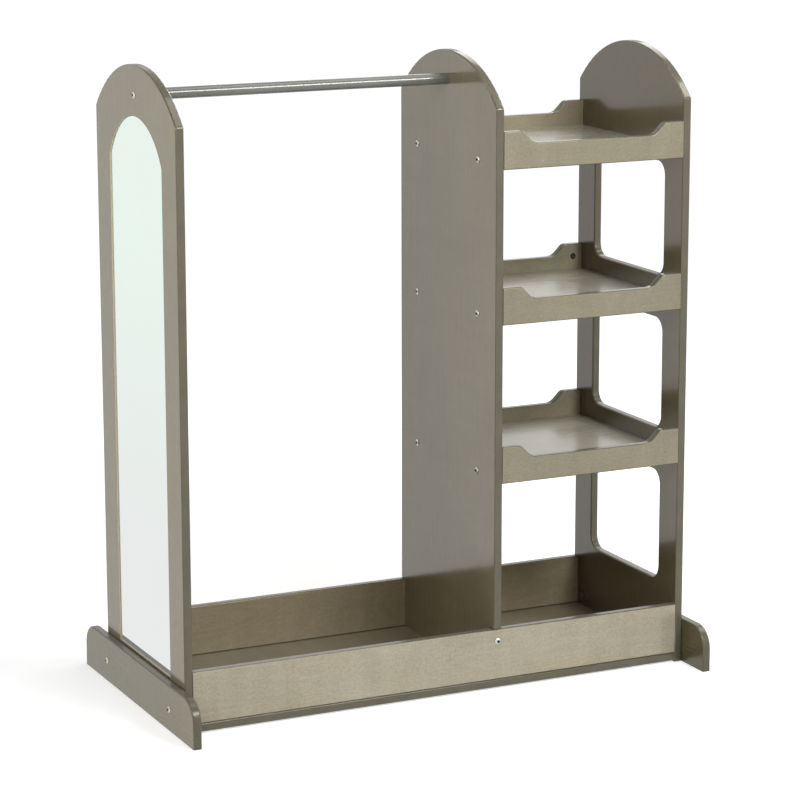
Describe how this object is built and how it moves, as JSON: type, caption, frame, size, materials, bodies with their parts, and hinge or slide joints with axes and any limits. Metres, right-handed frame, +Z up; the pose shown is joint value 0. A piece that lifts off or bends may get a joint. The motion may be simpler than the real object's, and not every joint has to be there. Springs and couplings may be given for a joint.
{
  "type": "dress-up storage rack",
  "caption": "Child's dress-up rack: arched panels on long foot boards, a hanging rod, a tall arched mirror in one end, scooped trays beside windows and a divided bin along the floor.",
  "frame": {"origin": "on the floor, under the middle of the rack's bounding box", "axes": "+X towards the end with the trays, from the end with the mirror; +Y towards the back; +Z up from the floor to the crowns of the panels"},
  "size_m": [1.0056, 0.532, 1.116],
  "materials": {
    "panel_lacquer": "grey-taupe stained birch plywood under satin lacquer",
    "rail_lacquer": "lighter grey-taupe stained birch veneer with mottled figure under satin lacquer",
    "rod_lacquer": "grey satin lacquered round rod",
    "mirror_glass": "flat polished mirror sheet with a faint green tint",
    "nickel_steel": "bright nickel-plated fasteners with hexagon sockets",
    "zinc_steel": "zinc-plated screws and pins",
    "beech": "raw beech"
  },
  "bodies": {
    "root": {"left_panel": "panel_lacquer", "middle_panel": "panel_lacquer", "right_panel": "panel_lacquer", "left_foot": "panel_lacquer", "right_foot": "panel_lacquer", "mirror": "mirror_glass", "hanging_rod": "rod_lacquer", "bottom_board": "panel_lacquer", "bin_front_rail": "rail_lacquer", "bin_back_rail": "rail_lacquer", "upper_tray_front_rail": "rail_lacquer", "upper_tray_back_rail": "rail_lacquer", "upper_tray_shelf": "panel_lacquer", "middle_tray_front_rail": "rail_lacquer", "middle_tray_back_rail": "rail_lacquer", "middle_tray_shelf": "panel_lacquer", "lower_tray_front_rail": "rail_lacquer", "lower_tray_back_rail": "rail_lacquer", "lower_tray_shelf": "panel_lacquer", "rod_bolts": "nickel_steel", "tray_bolts": "nickel_steel", "tray_nuts": "nickel_steel", "back_rail_bolt": "nickel_steel", "back_rail_nut": "nickel_steel", "divider_bolts": "nickel_steel", "divider_nuts": "nickel_steel", "foot_bolts": "nickel_steel", "foot_nuts": "nickel_steel", "bin_screws": "zinc_steel", "bin_dowels": "beech", "floor_screws": "zinc_steel", "tray_pins": "zinc_steel"}
  },
  "joints": []
}
